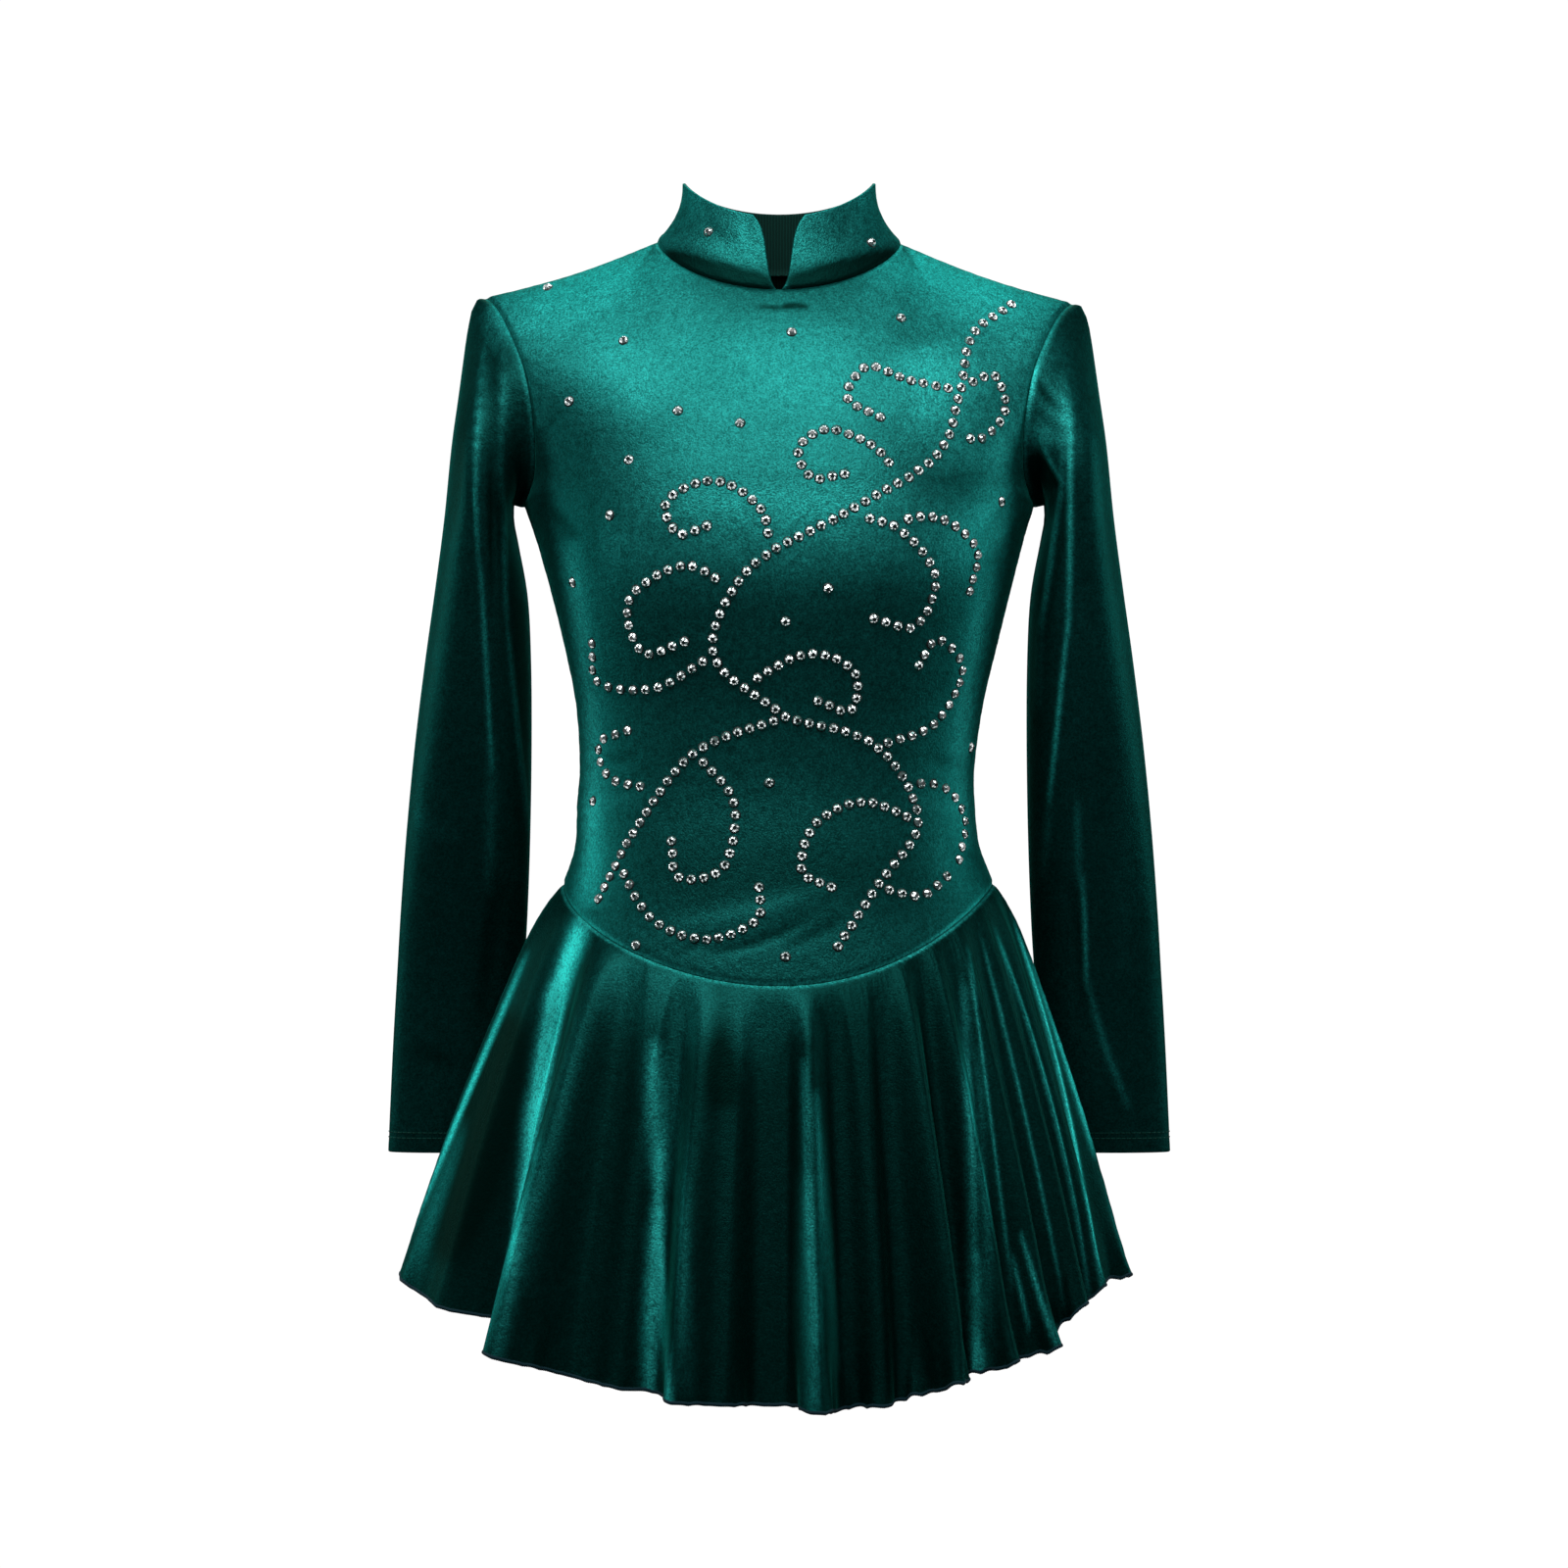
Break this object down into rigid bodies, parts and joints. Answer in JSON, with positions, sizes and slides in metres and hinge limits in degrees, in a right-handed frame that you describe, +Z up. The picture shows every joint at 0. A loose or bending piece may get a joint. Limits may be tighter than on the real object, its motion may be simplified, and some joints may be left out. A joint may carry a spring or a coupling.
{
  "type": "figure skating dress",
  "caption": "Long-sleeved skating dress in stretch velvet, worn form with nobody in it: stand collar with a notch, fitted bodice, dropped curved seam and a full short skirt",
  "frame": {"origin": "on the shoulders, midway between the two side neck points, where the wearer carries the dress", "axes": "+Z is up, -Y is the front, +X is the wearer's left"},
  "size_m": [0.5046, 0.3799, 0.7545],
  "materials": {
    "velvet": "deep green stretch velvet with a short, lustrous pile",
    "overlock_thread": "dark blue-green polyester overlock thread",
    "sewing_thread": "green polyester sewing thread",
    "rhinestone": "clear faceted glass rhinestones with a foiled back"
  },
  "bodies": {
    "root": {"bodice_front": "velvet", "bodice_back": "velvet", "collar": "velvet", "sleeve_left": "velvet", "sleeve_right": "velvet", "skirt_front": "velvet", "skirt_back": "velvet"}
  },
  "joints": []
}
